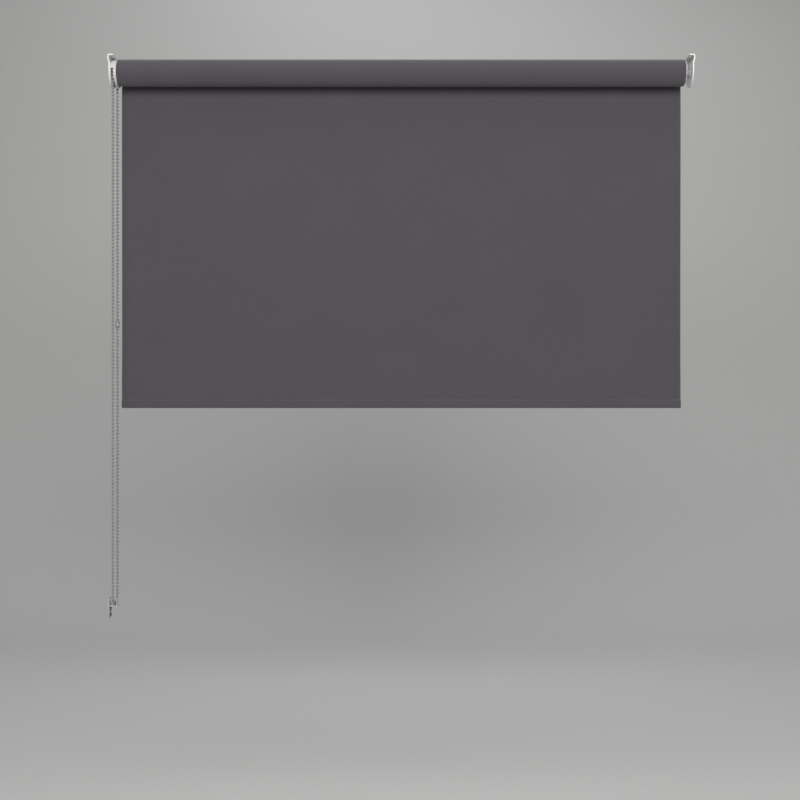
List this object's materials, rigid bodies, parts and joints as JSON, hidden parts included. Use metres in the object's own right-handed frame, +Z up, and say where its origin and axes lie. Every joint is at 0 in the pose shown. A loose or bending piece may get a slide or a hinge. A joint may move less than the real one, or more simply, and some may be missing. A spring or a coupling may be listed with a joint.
{
  "type": "roller blind",
  "caption": "Chain-operated roller blind for a window recess: dark cloth on a tube between two brackets, with a weighted hem.",
  "frame": {"origin": "middle of the four head-screw holes, on the brackets' faces that press against the head of the recess", "axes": "+X along the roller, away from the chain control; +Y towards the window; +Z up"},
  "size_m": [0.9975, 0.0516, 0.9592],
  "materials": {
    "bracket_paint": "white powder coat, satin",
    "white_plastic": "white injection-moulded plastic, satin",
    "grey_plastic": "grey glass-filled plastic, matt",
    "dark_plastic": "near-black glass-filled plastic, matt",
    "cap_plastic": "pale grey plastic, matt",
    "spline_plastic": "dark flexible plastic rod",
    "chain_plastic": "grey moulded beads",
    "clear_plastic": "clear moulded clamshell",
    "aluminium": "mill-finish extrusion",
    "spring_steel": "spring wire, oiled",
    "pin_steel": "turned steel, zinc plated",
    "screw_steel": "dark plated screws",
    "blind_cloth": "charcoal woven polyester, matt"
  },
  "bodies": {
    "root": {"drive_bracket": "bracket_paint", "idle_bracket": "bracket_paint", "clutch_core": "white_plastic", "chain_guard": "white_plastic", "hub_clip": "spring_steel", "pin_bush": "grey_plastic", "fabric_sheet": "blind_cloth", "chain_front_strand": "chain_plastic", "chain_rear_strand": "chain_plastic", "chain_wrap": "chain_plastic", "chain_turn": "chain_plastic", "tensioner_base": "white_plastic", "tensioner_cover": "white_plastic", "tensioner_screws": "screw_steel"},
    "roller": {"chain_sprocket": "dark_plastic", "drive_hub": "grey_plastic", "clutch_springs": "spring_steel", "roller_tube": "aluminium", "fabric_spline": "spline_plastic", "fabric_roll": "blind_cloth", "idle_plug": "white_plastic", "spring_cap": "grey_plastic", "idle_spring": "spring_steel"},
    "idle_pin": {"idle_pin": "pin_steel"},
    "bar": {"hem_pocket": "blind_cloth", "bottom_bar": "aluminium", "bar_cap_left": "cap_plastic", "bar_cap_right": "cap_plastic"},
    "connector": {"chain_connector": "clear_plastic"}
  },
  "joints": [
    {"name": "roller_turn", "type": "hinge", "parent": "root", "child": "roller", "pos_m": [0, 0, -0.026], "axis": [1, 0, 0], "range_deg": [-1460.9, 1240.6]},
    {"name": "bar_lift", "type": "slide", "parent": "root", "child": "bar", "axis": [0, 0, 1], "range_m": [-0.5735, 0.487], "deforming": ["fabric_sheet"]},
    {"name": "chain_run", "type": "slide", "parent": "root", "child": "connector", "axis": [0, 0, 1], "range_m": [-0.4386, 0.3725]},
    {"name": "idle_pin_press", "type": "slide", "parent": "roller", "child": "idle_pin", "axis": [-1, 0, 0], "range_m": [0, 0.006], "stiffness_N_per_m": 300, "springref_m": -0.008, "deforming": ["idle_spring"]}
  ],
  "couplings": [
    {"joint": "roller_turn", "follows": "bar_lift", "rad_per_m": 44.444},
    {"joint": "chain_run", "follows": "bar_lift", "ratio": 0.76394}
  ]
}
